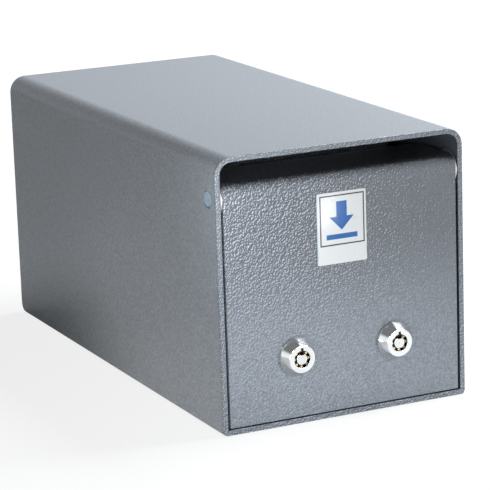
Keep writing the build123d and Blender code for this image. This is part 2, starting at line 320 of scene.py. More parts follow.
@dataclass(frozen=True)
class Finish:
    """A finish, which makes one material under its own name."""

    name: str

    def surface(self, board: Board) -> Signal:
        """The finish's shader."""
        raise NotImplementedError

    def material(self) -> bpy.types.Material:
        """Find the finish's material, or make it the first time.

        Returns:
            The material.
        """
        made = bpy.data.materials.get(self.name)
        if made is None:
            made = bpy.data.materials.new(self.name)
            made.use_nodes = True
            board = Board(made.node_tree)
            board.node("ShaderNodeOutputMaterial", {}, {"Surface": self.surface(board)})
        return made

    def apply(self, *pieces: bpy.types.Object) -> None:
        """Give the finish to every slot of some pieces.

        Args:
            *pieces: objects with meshes.
        """
        for piece in pieces:
            slots = piece.data.materials
            if len(slots) == 0:
                slots.append(self.material())
            for number in range(len(slots)):
                slots[number] = self.material()


@dataclass(frozen=True)
class Fall:
    """A run along which the relief and its painted highlights and shade fade from full to the least, places
    in millimetres.
    """

    thick_at: Triple = (0, 0, 0)
    thin_at: Triple = (0, 1, 0)
    least: float = 1.0

    def share(self, board: Board, place: Signal) -> Signal:
        """Share of the full relief and painted light along the run.

        Args:
            board: the tree to build in.
            place: the coordinates.

        Returns:
            1 at the thick end, down to the least at the thin one.
        """
        run = [(b - a) * MM for a, b in zip(self.thick_at, self.thin_at)]
        length = sum(part * part for part in run)
        travel: Any = 0.0
        for part, start, step in zip(board.split(place), self.thick_at, run):
            if step != 0:
                travel = (part - start * MM) * (step / length) + travel
        return travel.ease(0.0, 1.0, 1.0, self.least)


@dataclass(frozen=True)
class HammeredPaint(Finish):
    """Grey hammered coat: pebbles over a fine grain, with a painted highlight on one flank of each pebble and
    painted shade in its hollows, fading with the relief along a run.

    Sizes, heights and places are millimetres. Tints are factors of the tone.
    """

    tone: Triple = (0.208, 0.229, 0.259)
    # The next three tints are the painted shade in the pebbles' hollows, where the painted highlights crowd
    # and where they are sparse, and the painted highlight on the lit flanks.
    dark: float = 0.42
    sparse_dark: float = 0.6
    light: float = 2.0
    worn: float = 0.9
    lightest: float = 0.95
    pebble_size: float = 1.15
    pebble_height: float = 0.42
    ripple_size: float = 0.9
    ripple_share: float = 0.8
    ripple_swirl: float = 0.5
    # glint_step points towards the painted light; the flanks that face it get the painted highlight, and
    # glint_span and sparser set how many do.
    glint_step: Triple = (-0.24, 0.0, 0.28)
    glint_span: Pair = (0.0, 0.25)
    sparser: float = 0.2
    grain_size: float = 0.6
    grain_height: float = 0.1
    drift_size: float = 6.0
    drift_share: float = 0.3
    speckle: float = 0.5
    speckle_size: float = 1.2
    speckle_rough: float = 0.7
    speckle_span: Pair = (0.3, 0.7)
    speckle_share: float = 0.5
    metal: float = 0.2
    roughness: Ramp = (0.2, 0.8, 0.36, 0.46)
    gloss: float = 0.3
    gloss_rough: float = 0.35
    # fall fades the relief and its painted light along its run; crowd thins the painted highlights and
    # lightens the painted hollow shade along its run.
    fall: Fall = Fall()
    crowd: Fall = Fall()
    # Faces inside the inner box get painted shade, which keeps the inner share of the coat's colour.
    inner_low: Triple = (0.0, 0.0, 0.0)
    inner_high: Triple = (0.0, 0.0, 0.0)
    inner_soft: float = 0.12
    inner_share: float = 0.45

    def _lumps(self, board: Board, place: Signal) -> Signal:
        """Height of the pebbles and of the ripples over them, in pebble widths."""
        ripples = board.cloud(place, self.ripple_size * self.pebble_size * MM, 1.0, swirl=self.ripple_swirl)
        return ripples * self.ripple_share - board.pebbles(place, self.pebble_size * MM)

    def _tint(self, factor: float) -> Triple:
        """The coat's colour made lighter or darker."""
        return tuple(min(part * factor, self.lightest) for part in self.tone)

    def _inside(self, board: Board, place: Signal) -> Signal:
        """Find the faces inside the inner box, which get painted shade.

        Args:
            board: the tree to build in.
            place: the coordinates.

        Returns:
            1 on those faces, 0 elsewhere.
        """
        share: Any = 1.0
        for part, low, high in zip(board.split(place), self.inner_low, self.inner_high):
            share = board.within(part, low, high, self.inner_soft) * share
        return share

    def surface(self, board: Board) -> Signal:
        """Painted steel under a thin clear gloss, with a painted highlight on one flank of each pebble and
        painted shade in its hollows.

        Args:
            board: the tree to build in.

        Returns:
            The shader.
        """
        place = board.place()
        drift = board.cloud(place, self.drift_size * MM, 1.0)
        grain = board.cloud(place, self.grain_size * MM, 1.0)
        speckle = board.cloud(place, self.speckle_size * MM, 2.0, self.speckle_rough)
        depth = self.fall.share(board, place)
        crowd = self.crowd.share(board, place)
        lumps = self._lumps(board, place)
        # Painted light: flanks that face glint_step take the painted highlight, the others the painted hollow
        # shade.
        beyond = self._lumps(board, board.shift(place, tuple(part * MM for part in self.glint_step)))
        flank = lumps - beyond + (crowd - 1.0) * self.sparser
        painted_hollow_shade = board.blend(crowd, self._tint(self.sparse_dark), self._tint(self.dark))
        pebble_light_and_shade = board.blend(flank.ease(*self.glint_span), painted_hollow_shade, self._tint(self.light))
        height = lumps * depth * (self.pebble_height * MM) + grain * (self.grain_height * MM)
        even = board.blend(drift * self.drift_share, self.tone, self._tint(self.worn))
        dim, bright = self._tint(1.0 - self.speckle), self._tint(1.0 + self.speckle)
        flecked = board.blend(speckle.ease(*self.speckle_span), dim, bright)
        coat = board.blend(depth, board.blend(self.speckle_share, even, flecked), pebble_light_and_shade)
        # Painted shade: the coat inside the inner box is darkened.
        if self.inner_high != self.inner_low:
            shade = board.blend(self._inside(board, place), (1, 1, 1), (self.inner_share,) * 3)
            coat = board.blend(1.0, coat, shade, "MULTIPLY")
        sockets = {
            "Base Color": coat,
            "Metallic": self.metal,
            "Roughness": grain.ease(*self.roughness),
            "Coat Weight": self.gloss,
            "Coat Roughness": self.gloss_rough,
            "Normal": board.relief(height),
        }
        return board.node("ShaderNodeBsdfPrincipled", {}, sockets)


@dataclass(frozen=True)
class Keyways:
    """The locks' keyways, darkened with painted shade behind the front faces, sizes and places in
    millimetres.
    """

    spacing: float = 60.0
    height: float = 38.0
    radius: float = 6.5
    inner_soft: float = 0.05
    outer_soft: float = 0.15
    # From the first depth to the second the metal turns to the painted shade colour.
    clean_at: float = -157.35
    grimy_at: float = -156.9
    grime: Triple = (0.06, 0.033, 0.02)

    def share(self, board: Board) -> Signal:
        """Find the keyways, where the painted shade goes.

        Args:
            board: the tree to build in.

        Returns:
            1 in the keyways, 0 elsewhere.
        """
        across, depth, up = board.split(board.place())
        beside = abs(across) - self.spacing / 2 * MM
        above = up - self.height * MM
        from_axis = (beside * beside + above * above) ** 0.5
        near = from_axis.ease((self.radius + self.outer_soft) * MM, (self.radius - self.inner_soft) * MM)
        return near * depth.ease(self.clean_at * MM, self.grimy_at * MM)


@dataclass(frozen=True)
class PlatedMetal(Finish):
    """Polished, plated or turned metal with a faint haze and fine turning marks."""

    tone: Triple = (0.8, 0.81, 0.83)
    shade: Triple = (0.7, 0.71, 0.73)
    rough: float = 0.08
    rough_spread: float = 0.06
    patch: float = 4.0
    grain: float = 0.3
    grain_height: float = 0.0004
    tone_span: Pair = (0.3, 0.75)
    rough_span: Pair = (0.25, 0.75)
    keyways: Optional[Keyways] = None

    def surface(self, board: Board) -> Signal:
        """Bare metal whose sheen wanders a little.

        Args:
            board: the tree to build in.

        Returns:
            The shader.
        """
        place = board.place()
        haze = board.cloud(place, self.patch * MM)
        marks = board.cloud(place, self.grain * MM)
        colour = board.blend(haze.ease(*self.tone_span), self.tone, self.shade)
        # Painted shade in the locks' keyways.
        if self.keyways:
            colour = board.blend(self.keyways.share(board), colour, self.keyways.grime)
        sockets = {
            "Base Color": colour,
            "Metallic": 1.0,
            "Roughness": haze.ease(*self.rough_span, self.rough, self.rough + self.rough_spread),
            "Normal": board.relief(marks * (self.grain_height * MM)),
        }
        return board.node("ShaderNodeBsdfPrincipled", {}, sockets)


@dataclass(frozen=True)
class PrintedLabel(Finish):
    """White lacquered plate with a thin frame and a blue arrow that points down to a slot."""

    middle: Triple = (-0.75, 0.0, 106.0)
    paper: Triple = (0.7, 0.715, 0.705)
    edge: Triple = (0.5, 0.64, 0.72)
    line: Triple = (0.05, 0.025, 0.035)
    ink: Triple = (0.004, 0.105, 0.36)
    half_width: float = 15.0
    edge_band: float = 0.8
    frame: Box = (-13.3, 13.8, -9.6, 18.3)
    line_width: float = 0.75
    shaft: Box = (-3.2, 3.2, 6.0, 14.6)
    head_half: float = 7.4
    head_span: Pair = (-1.4, 6.2)
    slot: Box = (-9.4, 9.4, -6.2, -3.4)
    soft: float = 0.12
    mottle_size: float = 3.0
    mottle_share: float = 0.1
    mottle_tint: float = 0.93
    roughness: Ramp = (0.2, 0.8, 0.27, 0.31)
    lacquer: float = 0.1
    lacquer_rough: float = 0.1

    def _box(self, board: Board, at: Sequence[Signal], box: Box, inset: float = 0.0) -> Signal:
        """1 inside a box whose sides are moved inwards by the inset, 0 outside."""
        wide = board.within(at[0], box[0] + inset, box[1] - inset, self.soft)
        return wide * board.within(at[1], box[2] + inset, box[3] - inset, self.soft)

    def _arrow(self, board: Board, at: Sequence[Signal]) -> Signal:
        """Print the arrow and the slot that it points at.

        Args:
            board: the tree to build in.
            at: distances to the right of the label's middle and above it, in metres.

        Returns:
            1 on the print, 0 elsewhere.
        """
        tip, top = self.head_span
        flank = (at[1] - tip * MM) * (self.head_half / (top - tip)) - abs(at[0])
        head = flank.ease(-self.soft * MM, self.soft * MM) * board.within(at[1], tip, top, self.soft)
        return self._box(board, at, self.shaft).at_least(head).at_least(self._box(board, at, self.slot))

    def surface(self, board: Board) -> Signal:
        """Glossy lacquer over the print.

        Args:
            board: the tree to build in.

        Returns:
            The shader.
        """
        right, _, height = board.split(board.place())
        at = (right - self.middle[0] * MM, height - self.middle[2] * MM)
        frame = self._box(board, at, self.frame) * (1.0 - self._box(board, at, self.frame, self.line_width))
        rim = at[0].ease((self.edge_band - self.half_width) * MM, -self.half_width * MM)
        mottle = board.cloud(board.place(), self.mottle_size * MM)
        dim = tuple(part * self.mottle_tint for part in self.paper)
        paper = board.blend(mottle * self.mottle_share, self.paper, dim)
        plate = board.blend(frame, board.blend(rim, paper, self.edge), self.line)
        sockets = {
            "Base Color": board.blend(self._arrow(board, at), plate, self.ink),
            "Roughness": mottle.ease(*self.roughness),
            "Coat Weight": self.lacquer,
            "Coat Roughness": self.lacquer_rough,
        }
        return board.node("ShaderNodeBsdfPrincipled", {}, sockets)


# The housing's pebbles and their painted light keep to the front rim, and its faces inside get painted shade.
HOUSING_PAINT = HammeredPaint(
    "housing_hammered_paint",
    tone=(0.215, 0.24, 0.27),
    dark=0.55,
    light=1.5,
    pebble_size=1.0,
    pebble_height=0.3,
    fall=Fall((0, -151.2, 0), (0, -147.5, 0), 0.04),
    inner_low=(-72.1, -150.8, 2.9),
    inner_high=(72.1, 148.1, 149.5),
    inner_soft=0.08,
)
# The door's painted highlights and shade fade towards the bottom and thin out towards the right, and the top
# of its hood gets painted shade.
DOOR_PAINT = HammeredPaint(
    "door_hammered_paint",
    fall=Fall((0, 0, 108), (0, 0, 38), 0.3),
    crowd=Fall((-30, 0, 0), (70, 0, 0), 0.1),
    inner_low=(-80.0, -155.0, 135.3),
    inner_high=(80.0, 150.0, 150.0),
    inner_soft=1.6,
    inner_share=0.45,
)
# The baffle and strike channel carry pebbles with painted highlights and shade.
INNER_PAINT = HammeredPaint("inside_hammered_paint", dark=0.7, light=1.5, fall=Fall(least=0.3))

# Each metal's tone, shade, roughness, the roughness's spread and the size of its patches.
# The chrome of the lock body and plug takes painted shade in the keyways.
CHROME = PlatedMetal(
    "polished_chrome_plate", (0.87, 0.882, 0.875), (0.83, 0.842, 0.838), 0.05, 0.04, keyways=Keyways()
)
PLUG_CHROME = PlatedMetal(
    "chromed_plug", (0.82, 0.835, 0.825), (0.77, 0.785, 0.78), 0.09, 0.05, keyways=Keyways()
)
ZINC = PlatedMetal("bright_zinc_plate", (0.44, 0.6, 0.7), (0.34, 0.5, 0.6), 0.3, 0.12, 2.0)
BRASS = PlatedMetal("turned_brass", (0.72, 0.52, 0.24), (0.55, 0.36, 0.14), 0.2, 0.12, 0.8)
# The key pins' brass is patched at random between painted glints and painted shade.
GLINT_AND_SHADE_BRASS = PlatedMetal("worn_dark_brass", (0.85, 0.66, 0.4), (0.1, 0.055, 0.035), 0.22, 0.15, 2.2)
BLACK_STEEL = PlatedMetal("black_oxide_steel", (0.06, 0.06, 0.065), (0.035, 0.035, 0.04), 0.35, 0.15, 1.0)
SPRING_STEEL = PlatedMetal("drawn_spring_wire", (0.45, 0.45, 0.46), (0.36, 0.36, 0.37), 0.25, patch=0.5)
WASHER_STEEL = PlatedMetal("rolled_washer_steel", (0.62, 0.59, 0.6), (0.52, 0.5, 0.51), 0.38, 0.1, 2.0)
PLAIN_STEEL = PlatedMetal("ground_plain_steel", (0.5, 0.5, 0.51), (0.4, 0.4, 0.41), 0.32, 0.1, 2.5)
LABEL_PRINT = PrintedLabel("label_print")


# Studio


@dataclass(frozen=True)
class Lamp:
    """One soft lamp, in metres and watts. One that doesn't gleam lights only what is matt."""

    name: str
    at: Triple
    to: Triple
    size: Pair
    watts: float
    colour: Triple = (0.94, 0.97, 1.0)
    gleams: bool = True

    def hang(self, floor: bpy.types.Object) -> None:
        """Put the lamp in the scene.

        Args:
            floor: the studio's floor, which a lamp that doesn't gleam leaves unlit.
        """
        data = bpy.data.lights.new(self.name, "AREA")
        data.shape, data.energy, data.color = "RECTANGLE", self.watts, self.colour
        data.size, data.size_y = self.size
        lamp = bpy.data.objects.new(self.name, data)
        lamp.location, lamp.visible_glossy = self.at, self.gleams
        lamp.rotation_euler = (Vector(self.to) - Vector(self.at)).to_track_quat("-Z", "Y").to_euler()
        bpy.context.scene.collection.objects.link(lamp)
        if not self.gleams:
            unlit = bpy.data.collections.new(f"{self.name}_leaves_out")
            unlit.objects.link(floor)
            unlit.collection_objects[0].light_linking.link_state = "EXCLUDE"
            lamp.light_linking.receiver_collection = unlit


WARM = (1.0, 0.94, 0.86)
LAMPS = (
    Lamp("overhead_softbox", (0.5, 0.0, 0.7), (0.0, 0.0, 0.08), (0.6, 0.6), 14.2),
    Lamp("low_left_card", (-0.22, -0.32, 0.065), (-0.06, -0.15, 0.02), (0.12, 0.12), 0.15),
    Lamp("upper_left_card", (-0.115, -0.225, 0.135), (-0.06, -0.15, 0.13), (0.05, 0.05), 0.105),
    Lamp("front_card", (0.2, -0.7, 0.08), (0.0, -0.15, 0.08), (0.15, 0.15), 0.85),
    Lamp("left_strip", (-0.155, -0.075, 0.0), (-0.076, -0.075, 0.0), (0.2, 0.04), 0.2, WARM, gleams=False),
    Lamp("front_strip", (-0.02, -0.215, 0.0), (-0.02, -0.15, 0.0), (0.18, 0.04), 0.074, gleams=False),
)


@dataclass(frozen=True)
class Studio:
    """Camera at the photograph's angle, pale floor, white surroundings and soft lamps.

    Camera places are millimetres, the floor's sizes metres.
    """

    focal_pixels: float = 2500.19
    picture_pixels: float = 490.0
    sensor: float = 36.0
    camera_at: Triple = (-610.44, -1311.96, 418.39)
    camera_right: Triple = (0.89927521, -0.4361697, -0.03255899)
    camera_down: Triple = (-0.13221225, -0.20012076, -0.97080977)
    camera_forward: Triple = (0.41692208, 0.87732985, -0.23763062)
    camera_reach: Pair = (0.05, 50.0)
    floor_half: float = 6.0
    floor_drop: float = 0.0002
    floor_tone: Triple = (0.78, 0.78, 0.78)
    floor_shade: Triple = (0.74, 0.74, 0.74)
    mottle_size: float = 0.2
    mottle_share: float = 0.3
    floor_glow: float = 1.1
    glow_far: Ramp = (0.25, 0.7, 0.75, 0.97)
    gloss_far: Ramp = (0.3, 1.0, 0.1, 0.45)
    gloss_ahead: Ramp = (-0.2, -0.6, 0.1, 0.8)
    sky_tone: Triple = (0.97, 0.98, 1.0)
    ceiling_span: Pair = (0.3, 0.6)
    ceiling_dark: float = 0.8

    def build(self) -> None:
        """Set up the camera, the floor, the surroundings and the lamps."""
        self._camera()
        floor = self._floor()
        self._surroundings()
        for lamp in LAMPS:
            lamp.hang(floor)

    def _camera(self) -> None:
        """Place the camera from its measured axes."""
        data = bpy.data.cameras.new("camera")
        data.sensor_width = self.sensor
        data.lens = self.focal_pixels * self.sensor / self.picture_pixels
        data.clip_start, data.clip_end = self.camera_reach
        camera = bpy.data.objects.new("camera", data)
        bpy.context.scene.collection.objects.link(camera)
        right, down, ahead = (Vector(v) for v in (self.camera_right, self.camera_down, self.camera_forward))
        turn = Matrix((right, -down, -ahead)).transposed()
        camera.matrix_world = Matrix.Translation(Vector(self.camera_at) * MM) @ turn.to_4x4()
        bpy.context.scene.camera = camera

    def _floor(self) -> bpy.types.Object:
        """Lay the pale floor just under the safe.

        Returns:
            The floor.
        """
        shape = bmesh.new()
        bmesh.ops.create_grid(shape, x_segments=1, y_segments=1, size=self.floor_half)
        bmesh.ops.translate(shape, verts=shape.verts, vec=(0, 0, -self.floor_drop))
        floor = publish("studio_floor", shape)
        material = bpy.data.materials.new("pale_floor")
        material.use_nodes = True
        board = Board(material.node_tree)
        place = board.place()
        mottle = board.cloud(place, self.mottle_size)
        colour = board.blend(mottle * self.mottle_share, self.floor_tone, self.floor_shade)
        matt = board.node("ShaderNodeBsdfDiffuse", {}, {"Color": colour})
        glow = board.node("ShaderNodeEmission", {}, {"Color": (1, 1, 1, 1), "Strength": self.floor_glow})
        camera, glossy, through = board.rays()
        away = board.node("ShaderNodeVectorMath", {"operation": "LENGTH"}, {0: place}, 1)
        shown = camera.at_least(through) * away.ease(*self.glow_far)
        ahead = board.split(place)[1].ease(*self.gloss_ahead).at_least(away.ease(*self.gloss_far))
        lit = board.node("ShaderNodeMixShader", {}, {0: shown.at_least(glossy * ahead), 1: matt, 2: glow})
        board.node("ShaderNodeOutputMaterial", {}, {"Surface": lit})
        floor.data.materials.append(material)
        return floor

    def _surroundings(self) -> None:
        """White round about for the camera and for gloss, darker overhead."""
        world = bpy.data.worlds.new("white_surroundings")
        bpy.context.scene.world = world
        world.use_nodes = True
        board = Board(world.node_tree)
        camera, glossy, through = board.rays()
        shown = camera.at_least(glossy).at_least(through)
        ceiling = glossy * board.split(board.sky())[2].ease(*self.ceiling_span) * self.ceiling_dark
        sockets = {"Color": (*self.sky_tone, 1.0), "Strength": shown * (1.0 - ceiling)}
        sky = board.node("ShaderNodeBackground", {}, sockets)
        board.node("ShaderNodeOutputWorld", {}, {"Surface": sky})


# Shapes


def publish(name: str, shape: bmesh.types.BMesh) -> bpy.types.Object:
    """Turn a finished shape into an object at the origin.

    Args:
        name: the piece's name.
        shape: the bmesh, which is freed.

    Returns:
        The new object, linked to the scene.
    """
    mesh = bpy.data.meshes.new(name)
    for face in shape.faces:
        face.smooth = True
    shape.to_mesh(mesh)
    shape.free()
    mesh.set_sharp_from_angle(angle=math.radians(SHARP_ANGLE))
    made = bpy.data.objects.new(name, mesh)
    bpy.context.scene.collection.objects.link(made)
    return made


def rounded(corners: Sequence[Corner], steps: int = 4) -> list[Pair]:
    """Outline with arcs at its corners.

    Args:
        corners: (radius, depth, rounding) in order round a closed outline, in millimetres.
        steps: chords in each arc.

    Returns:
        The outline's (radius, depth) points.
    """
    outline: list[Pair] = []
    around = [corners[-1], *corners, corners[0]]
    for before, corner, after in zip(around, corners, around[2:]):
        tip, rounding = Vector(corner[:2]), corner[2]
        if rounding == 0:
            outline.append(tuple(tip))
            continue
        back = (Vector(before[:2]) - tip).normalized()
        ahead = (Vector(after[:2]) - tip).normalized()
        half = back.angle(ahead) / 2
        start, stop = (tip + way * (rounding / math.tan(half)) for way in (back, ahead))
        middle = tip + (back + ahead).normalized() * (rounding / math.sin(half))
        for step in range(steps + 1):
            ray = (start.lerp(stop, step / steps) - middle).normalized()
            outline.append(tuple(middle + ray * rounding))
    return outline


def thread(start: float, stop: float, crest: float, root: float, pitch: float) -> list[Corner]:
    """Outline of a screw thread, drawn as rings.

    Args:
        start: depth of the first crest in millimetres.
        stop: depth that the last crest doesn't pass.
        crest: radius of the crests.
        root: radius of the roots.
        pitch: distance between crests.

    Returns:
        The outline's corners.
    """
    turns = int(abs(stop - start) / pitch)
    step = math.copysign(pitch, stop - start)
    corners: list[Corner] = []
    for turn in range(turns):
        corners.append((crest, start + turn * step, 0.0))
        corners.append((root, start + (turn + 0.5) * step, 0.0))
    return [*corners, (crest, start + turns * step, 0.0)]


def lathe(outline: Sequence[Pair], steps: int = 96) -> bmesh.types.BMesh:
    """Spin a closed outline about the Y axis.

    Args:
        outline: (radius, depth) points in millimetres. A solid's outline has its ends on the axis.
        steps: steps round the turn.

    Returns:
        The shape, with depth towards +Y.
    """
    shape = bmesh.new()
    points = [shape.verts.new((radius * MM, depth * MM, 0)) for radius, depth in outline]
    pairs = list(zip(points, points[1:]))
    if outline[0][0] > 0 or outline[-1][0] > 0:
        pairs.append((points[-1], points[0]))
    edges = [shape.edges.new(pair) for pair in pairs]
    turned = {"cent": (0, 0, 0), "axis": (0, 1, 0), "angle": math.tau, "steps": steps, "use_merge": True}
    bmesh.ops.spin(shape, geom=points + edges, **turned)
    bmesh.ops.remove_doubles(shape, verts=shape.verts, dist=1e-8)
    bmesh.ops.recalc_face_normals(shape, faces=shape.faces)
    return shape


def rod(radius: float, start: float, stop: float, sides: int = 48, turn: float = 0.0) -> bmesh.types.BMesh:
    """Round or many-sided rod along the Y axis.

    Args:
        radius: radius to its corners in millimetres.
        start: depth of its front.
        stop: depth of its back.
        sides: number of sides.
        turn: turn about its axis in degrees.

    Returns:
        The shape.
    """
    shape = bmesh.new()
    lay = Matrix.Translation((0, (start + stop) / 2 * MM, 0)) @ Matrix.Rotation(math.radians(90), 4, "X")
    lay = lay @ Matrix.Rotation(math.radians(turn), 4, "Z")
    size = {"segments": sides, "radius1": radius * MM, "radius2": radius * MM, "depth": (stop - start) * MM}
    bmesh.ops.create_cone(shape, cap_ends=True, matrix=lay, **size)
    return shape


def block(low: Triple, high: Triple) -> bmesh.types.BMesh:
    """Box with its sides along the axes.

    Args:
        low: its lowest corner in millimetres.
        high: its highest corner.

    Returns:
        The shape.
    """
    shape = bmesh.new()
    bmesh.ops.create_cube(shape, size=1.0)
    bmesh.ops.scale(shape, vec=[(b - a) * MM for a, b in zip(low, high)], verts=shape.verts)
    bmesh.ops.translate(shape, vec=[(a + b) / 2 * MM for a, b in zip(low, high)], verts=shape.verts)
    return shape


def soften(shape: bmesh.types.BMesh, edges: list[bmesh.types.BMEdge], width: float, segments: int) -> None:
    """Round some of a shape's edges, with the width in millimetres."""
    rounding = {"offset": width * MM, "segments": segments, "profile": 0.5, "affect": "EDGES", "material": -1}
    bmesh.ops.bevel(shape, geom=edges, **rounding)


def spread(shape: bmesh.types.BMesh, places: Sequence[Triple]) -> None:
    """Copy a shape to some places.

    Args:
        shape: the shape, which moves to the first place.
        places: steps in millimetres from where it is.
    """
    first = list(shape.verts) + list(shape.edges) + list(shape.faces)
    for place in places[1:]:
        copied = bmesh.ops.duplicate(shape, geom=first)["geom"]
        moved = [part for part in copied if isinstance(part, bmesh.types.BMVert)]
        bmesh.ops.translate(shape, verts=moved, vec=Vector(place) * MM)
    started = [part for part in first if isinstance(part, bmesh.types.BMVert)]
    bmesh.ops.translate(shape, verts=started, vec=Vector(places[0]) * MM)


def carve(piece: bpy.types.Object, shape: bmesh.types.BMesh, operation: str = "DIFFERENCE") -> None:
    """Cut a piece with another shape, or join them.

    Args:
        piece: the piece.
        shape: the other shape, which is freed.
        operation: DIFFERENCE cuts the shape out, INTERSECT keeps what both fill, UNION joins them.
    """
    tool = publish("carving_tool", shape)
    cut = piece.modifiers.new("cut", "BOOLEAN")
    cut.operation, cut.solver, cut.object = operation, "EXACT", tool
    seen = bpy.context.evaluated_depsgraph_get()
    baked = bpy.data.meshes.new_from_object(piece.evaluated_get(seen))
    spent = [piece.data, tool.data]
    piece.modifiers.clear()
    piece.data = baked
    bpy.data.objects.remove(tool)
    for mesh in spent:
        bpy.data.meshes.remove(mesh)
    baked.name = piece.name
    baked.set_sharp_from_angle(angle=math.radians(SHARP_ANGLE))


def sweep(shape: bmesh.types.BMesh, ring: list[Any], angle: float, steps: int, climb: float = 0.0) -> None:
    """Sweep a closed ring about the Y axis and cap both ends.

    Args:
        shape: the shape that the ring belongs to.
        ring: its vertices and edges.
        angle: the turn in radians.
        steps: steps along the way.
        climb: travel along the axis at each step, in metres.
    """
    path = {"cent": (0, 0, 0), "axis": (0, 1, 0), "dvec": (0, climb, 0), "angle": angle, "steps": steps}
    bmesh.ops.spin(shape, geom=ring, **path)
    bmesh.ops.holes_fill(shape, edges=[edge for edge in shape.edges if edge.is_boundary], sides=0)
    bmesh.ops.recalc_face_normals(shape, faces=shape.faces)


def flatten(piece: bpy.types.Object, flat: float, start: float, stop: float, reach: float) -> None:
    """Mill a flat on either side of a piece.

    Args:
        piece: the piece.
        flat: distance of the flats from the axis in millimetres.
        start: depth at which they begin.
        stop: depth at which they end.
        reach: how far out metal is cut away.
    """
    for sign in (-1, 1):
        near, far = sorted((sign * flat, sign * reach))
        carve(piece, block((near, start, -reach), (far, stop, reach)))


# The safe


class Model:
    """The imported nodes, with the calls that dress them or put finer pieces in their place."""

    def __init__(self, nodes: dict[str, bpy.types.Object]) -> None:
        """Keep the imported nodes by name."""
        self.nodes = nodes

    def dress(self, finish: Finish, *names: str, edge: float = 0.0) -> None:
        """Give nodes a finish.

        Args:
            finish: the finish.
            *names: the nodes' names.
            edge: rounding of their edges in millimetres, none at 0.
        """
        for name in names:
            node = self.nodes[name]
            finish.apply(node)
            if edge > 0:
                bevel = node.modifiers.new("softened_edges", "BEVEL")
                bevel.width, bevel.segments = edge * MM, 2
                bevel.limit_method, bevel.angle_limit = "ANGLE", math.radians(BEVEL_ANGLE)
            log.info("%s: node kept, %s", name, finish.name)

    def place(
        self, piece: bpy.types.Object, node: str, slot: Slot, finish: Finish, at: Triple, turn: float = 0.0
    ) -> None:
        """Put a piece where it belongs, and let it stand for a node.

        Args:
            piece: the piece, still about the origin.
            node: the node that it replaces and whose body it rides on.
            slot: the record's slot of its material; not used.
            finish: its finish.
            at: its place in millimetres.
            turn: turn about Z in degrees before it is moved.
        """
        spin = Matrix.Rotation(math.radians(turn), 4, "Z")
        piece.data.transform(Matrix.Translation(Vector(at) * MM) @ spin)
        finish.apply(piece)
        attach(piece, body_of(self.nodes[node])[0])
        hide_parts(node)
        log.info("%s: %d faces, %s", piece.name, len(piece.data.polygons), finish.name)


@dataclass(frozen=True)
class Ring:
    """Turned ring, or a pin where the inner radius is 0, sizes in millimetres.

    The edges are roundings at the inner and outer front, then at the outer and inner back.
    """

    inner: float
    outer: float
    edges: Ramp

    def turned(self, front: float, back: float, arc: int = 4, steps: int = 96) -> bmesh.types.BMesh:
        """The ring between two depths, with so many chords in a rounding and steps round the turn."""
        points = ((self.inner, front), (self.outer, front), (self.outer, back), (self.inner, back))
        return lathe(rounded([(*point, edge) for point, edge in zip(points, self.edges)], arc), steps)


@dataclass(frozen=True)
class Nut:
    """Hexagon nut with chamfered corners and a countersunk bore, sizes and depths in millimetres."""

    flats: float
    front: float
    back: float
    bore: float
    face_share: float = 0.485
    corner_spare: float = 0.2
    chamfer_angle: float = 30.0
    sink_share: float = 0.06
    least_sink: float = 0.2

    def build(self, name: str) -> bpy.types.Object:
        """Build the nut about the Y axis.

        Args:
            name: the piece's name.

        Returns:
            The nut.
        """
        front, back = self.front, self.back
        corner, face = self.flats / math.sqrt(3), self.face_share * self.flats
        rim = corner + self.corner_spare
        fall = (rim - face) * math.tan(math.radians(self.chamfer_angle))
        sink = self.sink_share * self.bore + self.least_sink
        wide = self.bore + sink + PAST
        nut = publish(name, rod(corner, front - PAST, back + PAST, sides=6, turn=30.0))
        chamfer = [(0.0, front), (face, front), (rim, front + fall)]
        hole = [(0.0, front - PAST), (wide, front - PAST), (self.bore, front + sink)]
        for half, operation in ((chamfer, "INTERSECT"), (hole, "DIFFERENCE")):
            other = [(radius, front + back - depth) for radius, depth in reversed(half)]
            carve(nut, lathe(half + other), operation)
        return nut


